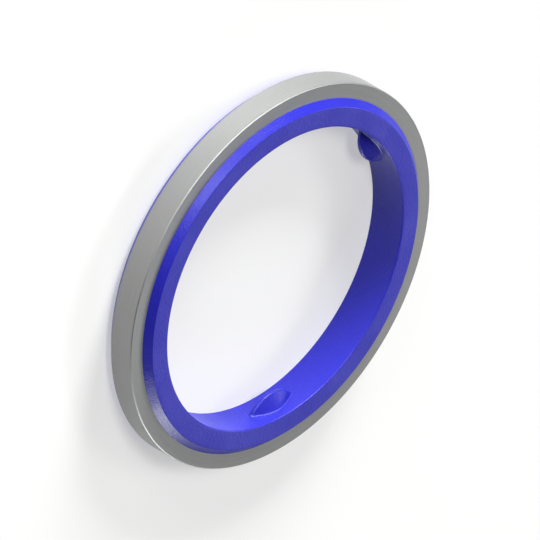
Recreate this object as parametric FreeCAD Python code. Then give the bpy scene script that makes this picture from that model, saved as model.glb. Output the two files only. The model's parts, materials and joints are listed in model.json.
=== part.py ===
import FreeCAD, Part
import math
import os

# Sealing washer for an M20 screw: a turned metal ring with an elastomer ring moulded into it.
# It lies flat, front side up. The origin is on the ring's axis, in the plane of the back sealing
# face, and +Z is the ring's axis. All sizes are in millimetres and all angles in degrees.

# Bore, and the walls round it from the inside out
bore_diameter = 21.0
seal_wall = 1.8
ring_wall = 1.05

# Metal ring, which takes the screw's load
ring_thickness = 1.8
ring_edge_break = 0.06

# Elastomer ring's raised lips, one on each side of the metal
front_lip_height = 0.45
back_lip_height = 0.5
lip_flank_angle = 45.0
lip_edge_radius = 0.06

# Nubs in the bore, which hook into the screw's thread and keep the washer on it
nub_count = 3
first_nub_angle = -90.0
nub_reach = 1.03
nub_arc_radius = 2.3
nub_crest_width = 0.25
nub_flank_angle = 27.0

# Radii and heights that follow from the sizes above
bore_radius = bore_diameter / 2
ring_inner_radius = bore_radius + seal_wall
ring_outer_radius = ring_inner_radius + ring_wall
metal_back_height = back_lip_height
metal_front_height = metal_back_height + ring_thickness
total_thickness = metal_front_height + front_lip_height
flank_slope = math.tan(math.radians(lip_flank_angle))


def rounded_face(corners):
    # Closed face in the XZ plane from (radius, height, corner radius) triples, with an arc at
    # each corner whose corner radius isn't zero.
    count = len(corners)
    points = [FreeCAD.Vector(x, 0, z) for x, z, _ in corners]
    starts = []
    ends = []
    arcs = []
    for index, corner in enumerate(points):
        radius = corners[index][2]
        to_last = (points[index - 1] - corner).normalize()
        to_next = (points[(index + 1) % count] - corner).normalize()
        half_angle = to_last.getAngle(to_next) / 2
        setback = radius / math.tan(half_angle)
        starts.append(corner + to_last * setback)
        ends.append(corner + to_next * setback)
        bisector = (to_last + to_next).normalize()
        arcs.append(corner + bisector * (radius / math.sin(half_angle) - radius))
    edges = []
    for index in range(count):
        if corners[index][2] > 0:
            edges.append(Part.Arc(starts[index], arcs[index], ends[index]).toShape())
        edges.append(Part.makeLine(ends[index], starts[(index + 1) % count]))
    return Part.Face(Part.Wire(edges))


def turned(face, centre):
    # Full turn of a section about the vertical line through the centre.
    return face.revolve(centre, FreeCAD.Vector(0, 0, 1), 360)


def make_support_ring():
    # Rectangular section with its two outer corners broken. The inner corners stay sharp,
    # because the elastomer is bonded right up to them.
    chamfer = ring_edge_break
    section = rounded_face([
        (ring_inner_radius, metal_back_height, 0),
        (ring_outer_radius - chamfer, metal_back_height, 0),
        (ring_outer_radius, metal_back_height + chamfer, 0),
        (ring_outer_radius, metal_front_height - chamfer, 0),
        (ring_outer_radius - chamfer, metal_front_height, 0),
        (ring_inner_radius, metal_front_height, 0),
    ])
    return turned(section, FreeCAD.Vector(0, 0, 0))


def make_seal_body():
    # The front lip rises from the metal's inner edge. The back lip covers the metal's whole
    # back face and rises from its outer edge. Both have the same sloping flank.
    front_lip_radius = ring_inner_radius - front_lip_height / flank_slope
    back_lip_root = ring_outer_radius - ring_edge_break
    back_lip_radius = back_lip_root - back_lip_height / flank_slope
    section = rounded_face([
        (bore_radius, 0, lip_edge_radius),
        (back_lip_radius, 0, lip_edge_radius),
        (back_lip_root, metal_back_height, 0),
        (ring_inner_radius, metal_back_height, 0),
        (ring_inner_radius, metal_front_height, 0),
        (front_lip_radius, total_thickness, lip_edge_radius),
        (bore_radius, total_thickness, lip_edge_radius),
    ])
    return turned(section, FreeCAD.Vector(0, 0, 0))


def make_nub_blank():
    # A small disc on a vertical axis, with a narrow flat crest and two sloping flanks. Only
    # the side that stands out of the bore is kept, with a root that ends halfway into the wall.
    middle = total_thickness / 2
    crest = nub_crest_width / 2
    flank_rise = nub_arc_radius * math.tan(math.radians(nub_flank_angle))
    centre = FreeCAD.Vector(bore_radius - nub_reach + nub_arc_radius, 0, 0)
    outline = [
        FreeCAD.Vector(0, 0, middle - crest - flank_rise),
        FreeCAD.Vector(nub_arc_radius, 0, middle - crest),
        FreeCAD.Vector(nub_arc_radius, 0, middle + crest),
        FreeCAD.Vector(0, 0, middle + crest + flank_rise),
    ]
    section = Part.Face(Part.makePolygon([point + centre for point in outline + outline[:1]]))
    disc = turned(section, centre)
    return disc.common(Part.makeCylinder(bore_radius + seal_wall / 2, total_thickness))


def make_sealing_ring():
    blank = make_nub_blank()
    nubs = []
    for index in range(nub_count):
        nub = blank.copy()
        angle = first_nub_angle + index * 360 / nub_count
        nub.rotate(FreeCAD.Vector(0, 0, 0), FreeCAD.Vector(0, 0, 1), angle)
        nubs.append(nub)
    return make_seal_body().fuse(nubs).removeSplitter()


def export(node, shape):
    shape.exportStep(f"parts/{node}.step")
    print(node, "solids", len(shape.Solids), "volume", round(shape.Volume, 3))


os.makedirs("parts", exist_ok=True)
export("support_ring", make_support_ring())
export("sealing_ring", make_sealing_ring())
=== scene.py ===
import json
import math
import bpy
from mathutils import Matrix, Vector


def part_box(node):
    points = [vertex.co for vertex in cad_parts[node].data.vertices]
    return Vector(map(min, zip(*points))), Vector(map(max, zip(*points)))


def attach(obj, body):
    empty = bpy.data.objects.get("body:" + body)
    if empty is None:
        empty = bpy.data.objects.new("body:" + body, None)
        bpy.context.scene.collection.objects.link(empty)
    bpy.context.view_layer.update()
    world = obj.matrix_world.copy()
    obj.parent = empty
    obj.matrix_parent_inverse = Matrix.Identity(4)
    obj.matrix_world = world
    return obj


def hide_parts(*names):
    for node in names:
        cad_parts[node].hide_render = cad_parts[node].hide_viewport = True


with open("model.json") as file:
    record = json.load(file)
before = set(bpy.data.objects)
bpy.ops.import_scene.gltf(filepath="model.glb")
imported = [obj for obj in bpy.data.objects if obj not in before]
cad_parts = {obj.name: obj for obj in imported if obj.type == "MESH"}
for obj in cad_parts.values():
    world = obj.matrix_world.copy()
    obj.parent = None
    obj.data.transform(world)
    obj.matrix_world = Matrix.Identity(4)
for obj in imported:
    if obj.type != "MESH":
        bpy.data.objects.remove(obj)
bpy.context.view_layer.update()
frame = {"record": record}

# Sealing washer for an M20 screw: a turned steel ring with a blue elastomer ring moulded into it.
# It lies on its back face on a pale table, front side up. Everything below is in metres.

mm = 0.001
ringLow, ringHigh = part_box("support_ring")
sealLow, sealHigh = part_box("sealing_ring")
mounts = {mount["name"]: mount for mount in frame["record"]["mounts"]}
boreRadius = mounts["screw_passage"]["dims"]["r_mm"] * mm
noiseLow, noiseHigh = 0.3, 0.7  # nearly all of a noise texture's values lie between these


def linearColour(hexCode):  # sRGB hex to the linear colour that shaders and lights take
    channels = [int(hexCode[start:start + 2], 16) / 255 for start in (0, 2, 4)]
    linear = [part / 12.92 if part <= 0.04045 else ((part + 0.055) / 1.055) ** 2.4 for part in channels]
    return linear + [1.0]


def addNode(tree, kind, settings, inputs):  # an input is linked if it is a socket, else set
    node = tree.nodes.new(kind)
    for name, value in settings.items():
        setattr(node, name, value)
    for key, value in inputs.items():
        if isinstance(value, bpy.types.NodeSocket):
            tree.links.new(value, node.inputs[key])
        else:
            node.inputs[key].default_value = value
    return node


def newMaterial(name):
    material = bpy.data.materials.new(name)
    material.use_nodes = True
    material.node_tree.nodes.clear()
    return material, material.node_tree


# Turned steel with zinc-nickel plating: a satin grey, darker than bare steel, and a soft sheen drawn
# out round the ring by the marks of the lathe tool, which run in circles on the faces and on the rim.
steel = {
    "colour": "969796",
    "toolMarkPitch": 0.17 * mm,  # the real feed is about 0.1 mm, too fine to show
    "toolMarkDepth": 0.007 * mm,
    "streakLength": 5 * mm,
    "streakDetail": 4.0,
    "streakRoughness": 0.6,
    "roughnessLow": 0.5,
    "roughnessHigh": 0.6,
    "anisotropy": 0.15,
}


def makeSteel():
    material, tree = newMaterial("zinc-nickel plated steel")
    place = addNode(tree, "ShaderNodeTexCoord", {}, {}).outputs["Object"]
    axes = addNode(tree, "ShaderNodeSeparateXYZ", {}, {0: place}).outputs
    flat = addNode(tree, "ShaderNodeCombineXYZ", {}, {0: axes[0], 1: axes[1]}).outputs[0]
    radius = addNode(tree, "ShaderNodeVectorMath", {"operation": "LENGTH"}, {0: flat}).outputs["Value"]
    across = addNode(tree, "ShaderNodeMath", {"operation": "SUBTRACT"}, {0: radius, 1: axes[2]}).outputs[0]
    marks = addNode(tree, "ShaderNodeMath", {"operation": "DIVIDE"}, {
        0: across, 1: steel["toolMarkPitch"] / 2}).outputs[0]

    # The streaks are long round the ring and short across it
    around = addNode(tree, "ShaderNodeVectorMath", {"operation": "SCALE"}, {
        0: flat, "Scale": 1 / steel["streakLength"]}).outputs[0]
    aroundAxes = addNode(tree, "ShaderNodeSeparateXYZ", {}, {0: around}).outputs
    streakPlace = addNode(tree, "ShaderNodeCombineXYZ", {}, {
        0: aroundAxes[0], 1: aroundAxes[1], 2: marks}).outputs[0]
    streaks = addNode(tree, "ShaderNodeTexNoise", {}, {
        "Vector": streakPlace, "Scale": 1.0,
        "Detail": steel["streakDetail"], "Roughness": steel["streakRoughness"]}).outputs["Fac"]
    groove = addNode(tree, "ShaderNodeMath", {"operation": "PINGPONG"}, {0: marks, 1: 1.0}).outputs[0]
    relief = addNode(tree, "ShaderNodeMath", {"operation": "MULTIPLY"}, {0: groove, 1: streaks}).outputs[0]
    bump = addNode(tree, "ShaderNodeBump", {}, {
        "Strength": 1.0, "Distance": steel["toolMarkDepth"], "Height": relief}).outputs["Normal"]
    roughness = addNode(tree, "ShaderNodeMapRange", {}, {
        "Value": streaks, "From Min": noiseLow, "From Max": noiseHigh,
        "To Min": steel["roughnessLow"], "To Max": steel["roughnessHigh"]}).outputs["Result"]
    aroundRing = addNode(tree, "ShaderNodeVectorMath", {"operation": "CROSS_PRODUCT"}, {
        0: (0, 0, 1), 1: flat}).outputs[0]
    shader = addNode(tree, "ShaderNodeBsdfPrincipled", {}, {
        "Base Color": linearColour(steel["colour"]), "Metallic": 1.0, "Roughness": roughness,
        "Anisotropic": steel["anisotropy"], "Tangent": aroundRing, "Normal": bump})
    addNode(tree, "ShaderNodeOutputMaterial", {}, {"Surface": shader.outputs["BSDF"]})
    return material


# Moulded fluorosilicone rubber, dyed blue: a satin skin from a spark-eroded mould, a deep even blue
# with slight clouding where the compound has flowed, and little glare, because its index is low.
elastomer = {
    "colour": "1E1E97",
    "cloudColour": "1B1B8B",
    "cloudSize": 3 * mm,
    "cloudDetail": 3.0,
    "cloudRoughness": 0.55,
    "grainSize": 0.15 * mm,  # the mould's own grain is about 0.03 mm, too fine to show
    "grainDepth": 0.02 * mm,  # deeper than the real one, in step with its size
    "grainDetail": 2.0,
    "grainRoughness": 0.5,
    "roughnessLow": 0.33,
    "roughnessHigh": 0.43,
    "ior": 1.38,
}


def makeElastomer():
    material, tree = newMaterial("moulded fluorosilicone rubber")
    place = addNode(tree, "ShaderNodeTexCoord", {}, {}).outputs["Object"]
    clouds = addNode(tree, "ShaderNodeTexNoise", {}, {
        "Vector": place, "Scale": 1 / elastomer["cloudSize"],
        "Detail": elastomer["cloudDetail"], "Roughness": elastomer["cloudRoughness"]}).outputs["Fac"]
    colour = addNode(tree, "ShaderNodeMix", {"data_type": "RGBA"}, {
        "Factor": clouds,
        6: linearColour(elastomer["colour"]),
        7: linearColour(elastomer["cloudColour"])}).outputs[2]
    grain = addNode(tree, "ShaderNodeTexNoise", {}, {
        "Vector": place, "Scale": 1 / elastomer["grainSize"],
        "Detail": elastomer["grainDetail"], "Roughness": elastomer["grainRoughness"]}).outputs["Fac"]
    bump = addNode(tree, "ShaderNodeBump", {}, {
        "Strength": 1.0, "Distance": elastomer["grainDepth"], "Height": grain}).outputs["Normal"]
    roughness = addNode(tree, "ShaderNodeMapRange", {}, {
        "Value": clouds, "From Min": noiseLow, "From Max": noiseHigh,
        "To Min": elastomer["roughnessLow"], "To Max": elastomer["roughnessHigh"]}).outputs["Result"]
    shader = addNode(tree, "ShaderNodeBsdfPrincipled", {}, {
        "Base Color": colour, "Roughness": roughness, "IOR": elastomer["ior"], "Normal": bump})
    addNode(tree, "ShaderNodeOutputMaterial", {}, {"Surface": shader.outputs["BSDF"]})
    return material


# Opal acrylic, the light table's skin: matt, without a seam, and lit from inside, which leaves it
# nearly white and its shadows light.
table = {
    "colour": "ABABAA",
    "cloudColour": "AEAEAD",
    "cloudSize": 60 * mm,
    "roughness": 0.7,
    "glowColour": "FFFFFF",
    "glow": 0.42,
    "side": 4.0,
    "depth": 0.2,
    "gap": 0.01 * mm,  # keeps the table's top and the washer's back face from sharing a plane
}


def makeTableSheet():
    material, tree = newMaterial("opal acrylic sheet")
    place = addNode(tree, "ShaderNodeTexCoord", {}, {}).outputs["Object"]
    clouds = addNode(tree, "ShaderNodeTexNoise", {}, {
        "Vector": place, "Scale": 1 / table["cloudSize"]}).outputs["Fac"]
    colour = addNode(tree, "ShaderNodeMix", {"data_type": "RGBA"}, {
        "Factor": clouds,
        6: linearColour(table["colour"]),
        7: linearColour(table["cloudColour"])}).outputs[2]
    shader = addNode(tree, "ShaderNodeBsdfPrincipled", {}, {
        "Base Color": colour, "Roughness": table["roughness"],
        "Emission Color": linearColour(table["glowColour"]), "Emission Strength": table["glow"]})
    addNode(tree, "ShaderNodeOutputMaterial", {}, {"Surface": shader.outputs["BSDF"]})
    return material


steelMaterial = makeSteel()
elastomerMaterial = makeElastomer()
tableMaterial = makeTableSheet()
print("materials made")


def drawSection(name, corners, arcSteps=6):
    # Wire outline of a ring's section, with X as the radius and Y as the height. Each corner is
    # (radius, height, rounding, rows on the straight run to the next corner).
    arcs = []
    for index, (radius, height, rounding, rows) in enumerate(corners):
        corner = Vector((radius, height))
        if not rounding:
            arcs.append([corner])
            continue
        toLast = (Vector(corners[index - 1][:2]) - corner).normalized()
        toNext = (Vector(corners[(index + 1) % len(corners)][:2]) - corner).normalized()
        halfAngle = toLast.angle(toNext) / 2
        centre = corner + (toLast + toNext).normalized() * (rounding / math.sin(halfAngle))
        setback = rounding / math.tan(halfAngle)
        start = (corner + toLast * setback - centre).normalized()
        end = (corner + toNext * setback - centre).normalized()
        arcs.append([centre + start.slerp(end, step / arcSteps) * rounding for step in range(arcSteps + 1)])
    outline = []
    for index, arc in enumerate(arcs):
        outline += arc
        rows = corners[index][3]
        following = arcs[(index + 1) % len(arcs)][0]
        outline += [arc[-1].lerp(following, row / rows) for row in range(1, rows)]
    mesh = bpy.data.meshes.new(name)
    count = len(outline)
    mesh.from_pydata([(point.x, point.y, 0) for point in outline],
                     [(index, (index + 1) % count) for index in range(count)], [])
    piece = bpy.data.objects.new(name, mesh)
    bpy.context.scene.collection.objects.link(piece)
    return piece


def newTree(name, inputs):
    tree = bpy.data.node_groups.new(name, "GeometryNodeTree")
    tree.interface.new_socket("Geometry", in_out="INPUT", socket_type="NodeSocketGeometry")
    for label, kind in inputs.items():
        tree.interface.new_socket(label, in_out="INPUT", socket_type=kind)
    tree.interface.new_socket("Geometry", in_out="OUTPUT", socket_type="NodeSocketGeometry")
    return tree, addNode(tree, "NodeGroupInput", {}, {}).outputs


def makeTurningTree():  # turns a section once round the Z axis
    tree, given = newTree("turned section", {
        "Path Radius": "NodeSocketFloat", "Segments": "NodeSocketInt",
        "Crease Angle": "NodeSocketFloat", "Material": "NodeSocketMaterial"})
    path = addNode(tree, "GeometryNodeCurvePrimitiveCircle", {}, {
        "Resolution": given["Segments"], "Radius": given["Path Radius"]}).outputs["Curve"]
    outline = addNode(tree, "GeometryNodeMeshToCurve", {}, {"Mesh": given["Geometry"]}).outputs["Curve"]
    inward = addNode(tree, "ShaderNodeMath", {"operation": "MULTIPLY"}, {
        0: given["Path Radius"], 1: -1}).outputs[0]
    shift = addNode(tree, "ShaderNodeCombineXYZ", {}, {"X": inward}).outputs[0]

    # Along the path a profile's Y looks down and the faces come out inwards, so both are turned over
    profile = addNode(tree, "GeometryNodeTransform", {}, {
        "Geometry": outline, "Translation": shift, "Rotation": (math.pi, 0, 0)}).outputs[0]
    inside = addNode(tree, "GeometryNodeCurveToMesh", {}, {
        "Curve": path, "Profile Curve": profile}).outputs["Mesh"]
    ring = addNode(tree, "GeometryNodeFlipFaces", {}, {"Mesh": inside}).outputs["Mesh"]

    # Smooth all over, except along edges that bend by more than the crease angle
    bend = addNode(tree, "GeometryNodeInputMeshEdgeAngle", {}, {}).outputs["Unsigned Angle"]
    crease = addNode(tree, "FunctionNodeCompare", {"operation": "GREATER_THAN"}, {
        0: bend, 1: given["Crease Angle"]}).outputs["Result"]
    smooth = addNode(tree, "GeometryNodeSetShadeSmooth", {}, {
        "Geometry": ring, "Shade Smooth": True}).outputs[0]
    sharp = addNode(tree, "GeometryNodeSetShadeSmooth", {"domain": "EDGE"}, {
        "Geometry": smooth, "Selection": crease, "Shade Smooth": False}).outputs[0]
    real = addNode(tree, "GeometryNodeRealizeInstances", {}, {"Geometry": sharp}).outputs[0]
    done = addNode(tree, "GeometryNodeSetMaterial", {}, {
        "Geometry": real, "Material": given["Material"]}).outputs[0]
    addNode(tree, "NodeGroupOutput", {}, {"Geometry": done})
    return tree


def addNodesModifier(piece, tree, values):
    modifier = piece.modifiers.new(tree.name, "NODES")
    modifier.node_group = tree
    for item in tree.interface.items_tree:
        if item.in_out == "INPUT" and item.name in values:
            modifier[item.identifier] = values[item.name]


def settle(piece):  # the modifiers' result becomes the piece's plain mesh
    depsgraph = bpy.context.evaluated_depsgraph_get()
    mesh = bpy.data.meshes.new_from_object(piece.evaluated_get(depsgraph), depsgraph=depsgraph)
    piece.modifiers.clear()
    section, piece.data = piece.data, mesh
    bpy.data.meshes.remove(section)
    mesh.name = piece.name


turning = {
    "pathRadius": 1 * mm,
    "creaseAngle": math.radians(40),
    "segments": 720,
}
turningTree = makeTurningTree()


def turn(piece, material):
    addNodesModifier(piece, turningTree, {
        "Path Radius": turning["pathRadius"], "Segments": turning["segments"],
        "Crease Angle": turning["creaseAngle"], "Material": material})


# Support ring: rectangular section, its two outer corners broken on the lathe
elastomerWall = 1.8 * mm  # between the bore and the metal
supportRing = {
    "innerRadius": boreRadius + elastomerWall,
    "outerRadius": ringHigh.x,
    "back": ringLow.z,
    "front": ringHigh.z,
    "edgeBreak": 0.06 * mm,
}


def makeSupportRing():
    sizes = supportRing
    faceEdge = sizes["outerRadius"] - sizes["edgeBreak"]
    ring = drawSection("turnedSupportRing", [
        (sizes["innerRadius"], sizes["back"], 0, 4),
        (faceEdge, sizes["back"], 0, 1),
        (sizes["outerRadius"], sizes["back"] + sizes["edgeBreak"], 0, 8),
        (sizes["outerRadius"], sizes["front"] - sizes["edgeBreak"], 0, 1),
        (faceEdge, sizes["front"], 0, 4),
        (sizes["innerRadius"], sizes["front"], 0, 1),
    ])
    turn(ring, steelMaterial)
    ring.modifiers.new("even shading", "WEIGHTED_NORMAL").keep_sharp = True
    settle(ring)
    return ring


# Sealing ring: lips on both faces with sloping flanks, and nubs that hook into the screw's thread
sealingRing = {
    "lipSlope": math.radians(45),
    "lipRounding": 0.06 * mm,
    "nubCount": 3,
    "firstNubAngle": math.radians(-90),
    "nubReach": 1.03 * mm,
    "nubArcRadius": 2.3 * mm,
    "nubCrestWidth": 0.25 * mm,
    "nubFlankAngle": math.radians(27),
    "nubRootRounding": 0.16 * mm,
    "nubCrestRounding": 0.08 * mm,
    "nubZoneHeight": 1.5 * mm,  # the wall's rows are close together here
    "nubZoneRows": 58,
    "crowding": 0.62,  # at a nub the segments' spacing is smaller by this share
    "wallTolerance": 0.01 * mm,  # a point this near to the bore's radius is on its wall
}


def makeNubTree():
    # Raises the nubs from the bore's wall. Each is part of a disc on an upright axis inside the
    # wall, so its outline in plan is an arc, and the disc gets narrower away from its mid-height.
    tree, given = newTree("thread nubs", {
        "Bore Radius": "NodeSocketFloat", "Wall Tolerance": "NodeSocketFloat",
        "Middle Height": "NodeSocketFloat", "Nub Count": "NodeSocketInt",
        "First Angle": "NodeSocketFloat", "Reach": "NodeSocketFloat",
        "Arc Radius": "NodeSocketFloat", "Crest Width": "NodeSocketFloat",
        "Flank Angle": "NodeSocketFloat", "Root Rounding": "NodeSocketFloat",
        "Crest Rounding": "NodeSocketFloat", "Crowding": "NodeSocketFloat",
        "Material": "NodeSocketMaterial"})
    mathNode = "ShaderNodeMath"
    place = addNode(tree, "GeometryNodeInputPosition", {}, {}).outputs[0]
    axes = addNode(tree, "ShaderNodeSeparateXYZ", {}, {0: place}).outputs
    angle = addNode(tree, mathNode, {"operation": "ARCTAN2"}, {0: axes[1], 1: axes[0]}).outputs[0]
    fromFirst = addNode(tree, mathNode, {"operation": "SUBTRACT"}, {
        0: angle, 1: given["First Angle"]}).outputs[0]

    # Segments move round towards the nubs
    phase = addNode(tree, mathNode, {"operation": "MULTIPLY"}, {
        0: fromFirst, 1: given["Nub Count"]}).outputs[0]
    sine = addNode(tree, mathNode, {"operation": "SINE"}, {0: phase}).outputs[0]
    most = addNode(tree, mathNode, {"operation": "DIVIDE"}, {
        0: given["Crowding"], 1: given["Nub Count"]}).outputs[0]
    move = addNode(tree, mathNode, {"operation": "MULTIPLY"}, {0: sine, 1: most}).outputs[0]
    back = addNode(tree, mathNode, {"operation": "MULTIPLY"}, {0: move, 1: -1}).outputs[0]
    turned = addNode(tree, "ShaderNodeVectorRotate", {"rotation_type": "Z_AXIS"}, {
        "Vector": place, "Angle": back}).outputs[0]
    crowded = addNode(tree, "GeometryNodeSetPosition", {}, {
        "Geometry": given["Geometry"], "Position": turned}).outputs[0]

    # Angle from the middle of the nearest nub, read after that move
    halfPitch = addNode(tree, mathNode, {"operation": "DIVIDE"}, {
        0: math.pi, 1: given["Nub Count"]}).outputs[0]
    minusHalf = addNode(tree, mathNode, {"operation": "MULTIPLY"}, {0: halfPitch, 1: -1}).outputs[0]
    off = addNode(tree, mathNode, {"operation": "WRAP"}, {
        0: fromFirst, 1: halfPitch, 2: minusHalf}).outputs[0]

    # Disc radius at this height, with the crest's edges rounded
    high = addNode(tree, mathNode, {"operation": "SUBTRACT"}, {
        0: axes[2], 1: given["Middle Height"]}).outputs[0]
    farUp = addNode(tree, mathNode, {"operation": "ABSOLUTE"}, {0: high}).outputs[0]
    halfCrest = addNode(tree, mathNode, {"operation": "DIVIDE"}, {0: given["Crest Width"], 1: 2}).outputs[0]
    pastCrest = addNode(tree, mathNode, {"operation": "SUBTRACT"}, {0: farUp, 1: halfCrest}).outputs[0]
    rise = addNode(tree, mathNode, {"operation": "SMOOTH_MAX"}, {
        0: pastCrest, 1: 0, 2: given["Crest Rounding"]}).outputs[0]
    slope = addNode(tree, mathNode, {"operation": "TANGENT"}, {0: given["Flank Angle"]}).outputs[0]
    lost = addNode(tree, mathNode, {"operation": "DIVIDE"}, {0: rise, 1: slope}).outputs[0]
    disc = addNode(tree, mathNode, {"operation": "SUBTRACT"}, {0: given["Arc Radius"], 1: lost}).outputs[0]
    discRadius = addNode(tree, mathNode, {"operation": "MAXIMUM"}, {0: disc, 1: 0}).outputs[0]

    # Distance from the ring's axis to the disc's front at this angle
    withArc = addNode(tree, mathNode, {"operation": "ADD"}, {
        0: given["Bore Radius"], 1: given["Arc Radius"]}).outputs[0]
    axisRadius = addNode(tree, mathNode, {"operation": "SUBTRACT"}, {
        0: withArc, 1: given["Reach"]}).outputs[0]
    sineOff = addNode(tree, mathNode, {"operation": "SINE"}, {0: off}).outputs[0]
    aside = addNode(tree, mathNode, {"operation": "MULTIPLY"}, {0: axisRadius, 1: sineOff}).outputs[0]
    cosineOff = addNode(tree, mathNode, {"operation": "COSINE"}, {0: off}).outputs[0]
    ahead = addNode(tree, mathNode, {"operation": "MULTIPLY"}, {0: axisRadius, 1: cosineOff}).outputs[0]
    discSquare = addNode(tree, mathNode, {"operation": "POWER"}, {0: discRadius, 1: 2}).outputs[0]
    asideSquare = addNode(tree, mathNode, {"operation": "MULTIPLY"}, {0: aside, 1: aside}).outputs[0]
    leftOver = addNode(tree, mathNode, {"operation": "SUBTRACT"}, {
        0: discSquare, 1: asideSquare}).outputs[0]
    depth = addNode(tree, mathNode, {"operation": "SQRT"}, {0: leftOver}).outputs[0]
    discFront = addNode(tree, mathNode, {"operation": "SUBTRACT"}, {0: ahead, 1: depth}).outputs[0]

    # The bore's wall moves in to the disc's front where that stands out of it
    flat = addNode(tree, "ShaderNodeCombineXYZ", {}, {0: axes[0], 1: axes[1]}).outputs[0]
    radius = addNode(tree, "ShaderNodeVectorMath", {"operation": "LENGTH"}, {0: flat}).outputs["Value"]
    newRadius = addNode(tree, mathNode, {"operation": "SMOOTH_MIN"}, {
        0: radius, 1: discFront, 2: given["Root Rounding"]}).outputs[0]
    share = addNode(tree, mathNode, {"operation": "DIVIDE"}, {0: newRadius, 1: radius}).outputs[0]
    scale = addNode(tree, "ShaderNodeCombineXYZ", {}, {0: share, 1: share, 2: 1}).outputs[0]
    moved = addNode(tree, "ShaderNodeVectorMath", {"operation": "MULTIPLY"}, {0: place, 1: scale}).outputs[0]
    onWall = addNode(tree, mathNode, {"operation": "COMPARE"}, {
        0: radius, 1: given["Bore Radius"], 2: given["Wall Tolerance"]}).outputs[0]
    inDisc = addNode(tree, mathNode, {"operation": "GREATER_THAN"}, {0: leftOver, 1: 0}).outputs[0]
    chosen = addNode(tree, "FunctionNodeBooleanMath", {"operation": "AND"}, {
        0: onWall, 1: inDisc}).outputs[0]
    nubbed = addNode(tree, "GeometryNodeSetPosition", {}, {
        "Geometry": crowded, "Selection": chosen, "Position": moved}).outputs[0]
    real = addNode(tree, "GeometryNodeRealizeInstances", {}, {"Geometry": nubbed}).outputs[0]
    done = addNode(tree, "GeometryNodeSetMaterial", {}, {
        "Geometry": real, "Material": given["Material"]}).outputs[0]
    addNode(tree, "NodeGroupOutput", {}, {"Geometry": done})
    return tree


def makeSealingRing():
    sizes = sealingRing
    middle = (sealLow.z + sealHigh.z) / 2
    metalInside = supportRing["innerRadius"]
    frontLip = metalInside - (sealHigh.z - ringHigh.z) / math.tan(sizes["lipSlope"])
    backRoot = supportRing["outerRadius"] - supportRing["edgeBreak"]
    backLip = backRoot - (ringLow.z - sealLow.z) / math.tan(sizes["lipSlope"])
    zoneTop = middle + sizes["nubZoneHeight"] / 2
    zoneFoot = middle - sizes["nubZoneHeight"] / 2
    ring = drawSection("mouldedSealingRing", [
        (boreRadius, sealLow.z, sizes["lipRounding"], 6),
        (backLip, sealLow.z, sizes["lipRounding"], 3),
        (backRoot, ringLow.z, 0, 2),
        (metalInside, ringLow.z, 0, 2),
        (metalInside, ringHigh.z, 0, 3),
        (frontLip, sealHigh.z, sizes["lipRounding"], 6),
        (boreRadius, sealHigh.z, sizes["lipRounding"], 6),
        (boreRadius, zoneTop, 0, sizes["nubZoneRows"]),
        (boreRadius, zoneFoot, 0, 6),
    ])
    turn(ring, elastomerMaterial)
    addNodesModifier(ring, makeNubTree(), {
        "Bore Radius": boreRadius, "Wall Tolerance": sizes["wallTolerance"],
        "Middle Height": middle, "Nub Count": sizes["nubCount"],
        "First Angle": sizes["firstNubAngle"], "Reach": sizes["nubReach"],
        "Arc Radius": sizes["nubArcRadius"], "Crest Width": sizes["nubCrestWidth"],
        "Flank Angle": sizes["nubFlankAngle"], "Root Rounding": sizes["nubRootRounding"],
        "Crest Rounding": sizes["nubCrestRounding"], "Crowding": sizes["crowding"],
        "Material": elastomerMaterial})
    ring.modifiers.new("even shading", "WEIGHTED_NORMAL").keep_sharp = True
    settle(ring)
    return ring


for node, slotName, piece in (("support_ring", "turned_steel", makeSupportRing()),
                              ("sealing_ring", "moulded_elastomer", makeSealingRing())):
    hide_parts(node)
    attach(piece, "root")
    print("piece made:", piece.name, len(piece.data.polygons), "faces")


def makeTable():  # a closed box, whose top is the floor of the picture
    half = table["side"] / 2
    levels = (-table["gap"] - table["depth"], -table["gap"])
    outline = ((-1, -1), (1, -1), (1, 1), (-1, 1))
    corners = [(x * half, y * half, z) for z in levels for x, y in outline]
    sides = [(index, (index + 1) % 4, (index + 1) % 4 + 4, index + 4) for index in range(4)]
    mesh = bpy.data.meshes.new("lightTable")
    mesh.from_pydata(corners, [], [(3, 2, 1, 0), (4, 5, 6, 7)] + sides)
    mesh.materials.append(tableMaterial)
    box = bpy.data.objects.new("lightTable", mesh)
    bpy.context.scene.collection.objects.link(box)


# Soft boxes stand round the washer. Their azimuth goes round from +X towards +Y. Two low ones, key
# and second, light the rim and the bore. They stand about midway between the eighths of the circle,
# so that a view along one of those from low down doesn't look into their glare on the flat faces.
# The high one draws the highlight on the front lip's flank at the picture's upper left, the fill
# the one at its lower left, and the side one the soft highlight on the lower nub's flank. The flat
# faces mirror the face one.
softBoxDistance = 0.9
softBoxes = {
    "key": {"azimuth": 69, "elevation": 12, "width": 0.3, "height": 0.34, "watts": 20},
    "second": {"azimuth": 112, "elevation": 12, "width": 0.3, "height": 0.34, "watts": 4.2},
    "fill": {"azimuth": 258, "elevation": 12, "width": 0.26, "height": 0.34, "watts": 4.9},
    "high": {"azimuth": 105, "elevation": 54, "width": 0.3, "height": 0.34, "watts": 4.4},
    "face": {"azimuth": 324, "elevation": 35, "width": 0.5, "height": 0.34, "watts": 1.1},
    "side": {"azimuth": 352, "elevation": 32, "width": 0.3, "height": 0.2, "watts": 2.5},
}


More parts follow.
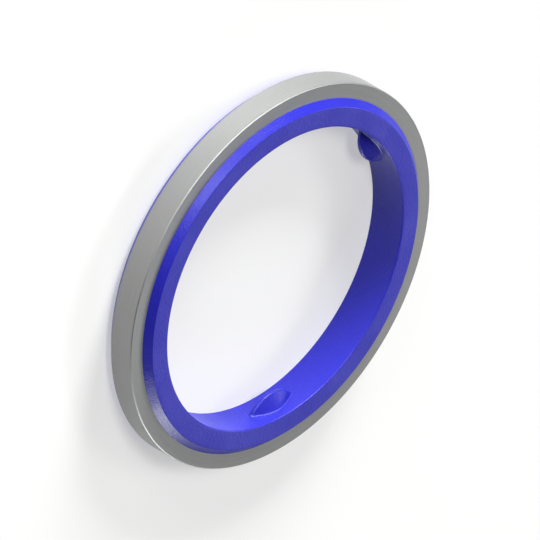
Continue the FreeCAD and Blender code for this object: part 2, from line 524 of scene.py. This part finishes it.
def addSoftBox(name, box):
    light = bpy.data.lights.new(name, "AREA")
    light.shape = "RECTANGLE"
    light.size, light.size_y = box["width"], box["height"]
    light.energy = box["watts"]
    azimuth, elevation = math.radians(box["azimuth"]), math.radians(box["elevation"])
    level = math.cos(elevation)
    away = Vector((math.cos(azimuth) * level, math.sin(azimuth) * level, math.sin(elevation)))
    lamp = bpy.data.objects.new(name, light)
    lamp.location = away * softBoxDistance
    lamp.rotation_euler = away.to_track_quat("Z", "Y").to_euler()
    bpy.context.scene.collection.objects.link(lamp)


room = {"colour": "F4F5F7", "strength": 0.02}


def makeRoomLight():
    world = bpy.data.worlds.new("studio room")
    world.use_nodes = True
    world.node_tree.nodes.clear()
    light = addNode(world.node_tree, "ShaderNodeBackground", {}, {
        "Color": linearColour(room["colour"]), "Strength": room["strength"]})
    addNode(world.node_tree, "ShaderNodeOutputWorld", {}, {"Surface": light.outputs[0]})
    bpy.context.scene.world = world


# The camera looks down at the photograph's isometric angle, rolled as the photograph is
view = {
    "right": Vector((1, 0, 1)),
    "up": Vector((1, 2, -1)),
    "target": Vector((0, 0, (sealLow.z + sealHigh.z) / 2)),
    "distance": 0.3,
    "nearest": 0.01,
    "farthest": 10,
    "millimetresPerPixel": 0.06305,
    "pixels": 540,
}


def makeCamera():
    lens = bpy.data.cameras.new("camera")
    lens.type = "ORTHO"
    lens.ortho_scale = view["pixels"] * view["millimetresPerPixel"] * mm
    lens.clip_start, lens.clip_end = view["nearest"], view["farthest"]
    right, up = view["right"].normalized(), view["up"].normalized()
    back = right.cross(up)
    camera = bpy.data.objects.new("camera", lens)
    turned = Matrix((right, up, back)).transposed().to_4x4()
    camera.matrix_world = Matrix.Translation(view["target"] + back * view["distance"]) @ turned
    bpy.context.scene.collection.objects.link(camera)
    bpy.context.scene.camera = camera


makeTable()
for boxName, box in softBoxes.items():
    addSoftBox(boxName, box)
makeRoomLight()
makeCamera()
bpy.context.scene.view_settings.view_transform = "Standard"
print("studio made")
